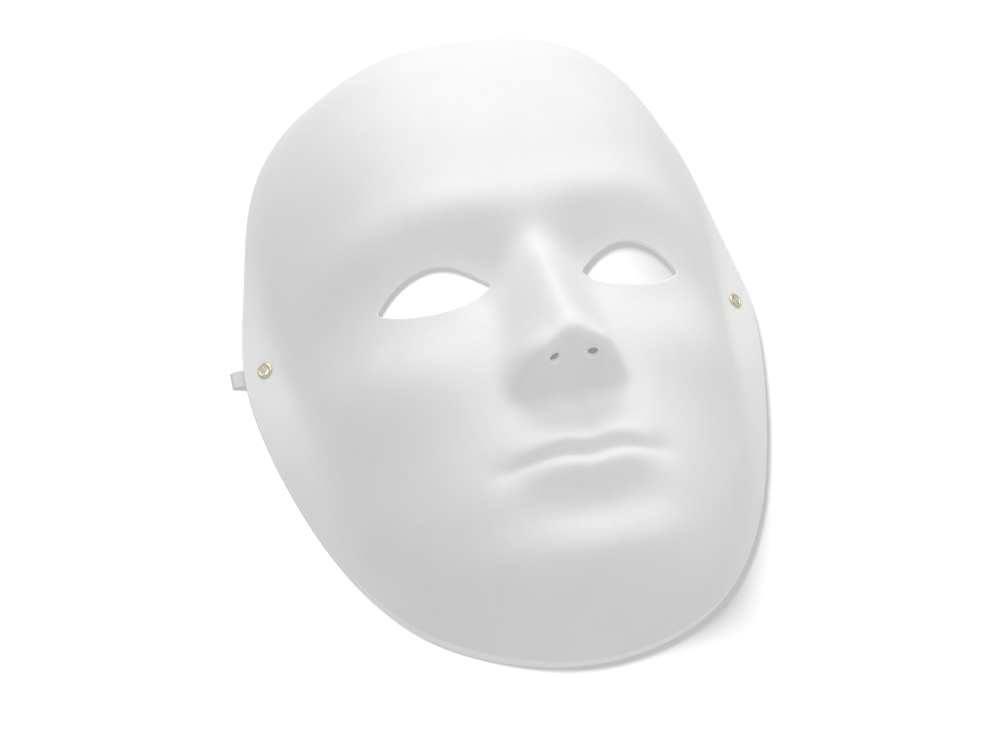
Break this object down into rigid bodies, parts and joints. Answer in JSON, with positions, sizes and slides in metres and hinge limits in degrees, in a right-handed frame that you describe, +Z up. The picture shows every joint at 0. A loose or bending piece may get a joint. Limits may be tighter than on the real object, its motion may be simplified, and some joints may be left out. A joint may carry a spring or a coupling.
{
  "type": "full face mask",
  "caption": "Plain white moulded full-face mask with open eyes, closed lips, brass eyelets and a flat elastic strap behind.",
  "frame": {"origin": "centre of the box round the whole object", "axes": "+Z up towards the crown, -Y the way the face looks, +X towards the wearer's left; the strap is behind, towards +Y"},
  "size_m": [0.1888, 0.1284, 0.237],
  "materials": {
    "pulp": "matte white moulded paper pulp with a primed, painted face",
    "brass": "polished, pale gold",
    "elastic": "woven flat elastic"
  },
  "bodies": {
    "mask": {"mask_shell": "pulp", "eyelet_left": "brass", "eyelet_right": "brass", "eyelet_washer_left": "brass", "eyelet_washer_right": "brass", "elastic_left_end": "elastic", "elastic_right_end": "elastic"},
    "strap_sides": {"elastic_left_run": "elastic", "elastic_right_run": "elastic"},
    "strap_back": {"elastic_back_run": "elastic"}
  },
  "joints": [
    {"name": "strap_swing", "type": "hinge", "parent": "mask", "child": "strap_sides", "pos_m": [0, 0.0362, 0.0085], "axis": [1, 0, 0], "range_deg": [-50, 50]},
    {"name": "strap_stretch", "type": "slide", "parent": "strap_sides", "child": "strap_back", "axis": [0, 1, 0], "range_m": [0, 0.085], "stiffness_N_per_m": 45}
  ]
}
